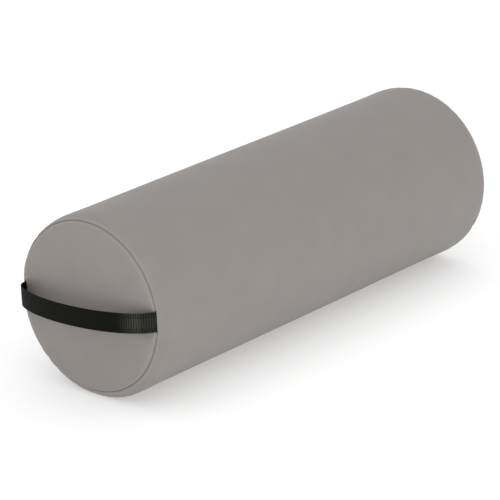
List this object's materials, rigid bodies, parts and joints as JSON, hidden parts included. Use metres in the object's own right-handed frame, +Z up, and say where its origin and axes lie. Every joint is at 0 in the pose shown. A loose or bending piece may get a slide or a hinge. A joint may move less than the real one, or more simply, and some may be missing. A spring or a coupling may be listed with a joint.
{
  "type": "massage bolster",
  "caption": "Full-round massage bolster: foam cylinder in a sewn vinyl cover with a webbing carry handle across one end and a zip along the back.",
  "frame": {"origin": "centre of the flat underneath, where the bolster rests on the table", "axes": "+X along the bolster, away from the handle end; +Z up; +Y towards the side with the zip"},
  "size_m": [0.687, 0.233, 0.2258],
  "materials": {
    "cover_vinyl": "satin",
    "foam": "matte",
    "webbing": "matte",
    "thread": "satin",
    "zip_tape": "matte",
    "zip_coil": "gloss",
    "zip_metal": "satin",
    "stop_metal": "satin"
  },
  "bodies": {
    "bolster": {"foam_core": "foam", "foam_wrap": "foam", "body_panel": "cover_vinyl", "near_end_panel": "cover_vinyl", "far_end_panel": "cover_vinyl", "near_seam_thread": "thread", "far_seam_thread": "thread", "closing_seam_threads": "thread", "handle_end_left": "webbing", "handle_end_right": "webbing", "handle_stitching": "thread", "zipper_tape_upper": "zip_tape", "zipper_tape_lower": "zip_tape", "zipper_coil_upper": "zip_coil", "zipper_coil_lower": "zip_coil", "zipper_stitching_upper": "thread", "zipper_stitching_lower": "thread", "zipper_top_stops": "stop_metal", "zipper_bottom_stop": "stop_metal"},
    "handle": {"handle_grip": "webbing"},
    "slider": {"zipper_slider": "zip_metal"},
    "pull_tab": {"zipper_pull": "zip_metal"}
  },
  "joints": [
    {"name": "handle_swing", "type": "hinge", "parent": "bolster", "child": "handle", "pos_m": [-0.3242, 0, 0.11343], "axis": [0, -0.998, 0.0628], "range_deg": [-40, 40], "stiffness_Nm_per_rad": 0.05},
    {"name": "zipper_slide", "type": "slide", "parent": "bolster", "child": "slider", "axis": [1, 0, 0], "range_m": [0, 0.537]},
    {"name": "pull_tab_hinge", "type": "hinge", "parent": "slider", "child": "pull_tab", "pos_m": [-0.2684, 0.11601, 0.13199], "axis": [0, 0.1736, -0.9848], "range_deg": [0, 170]}
  ]
}
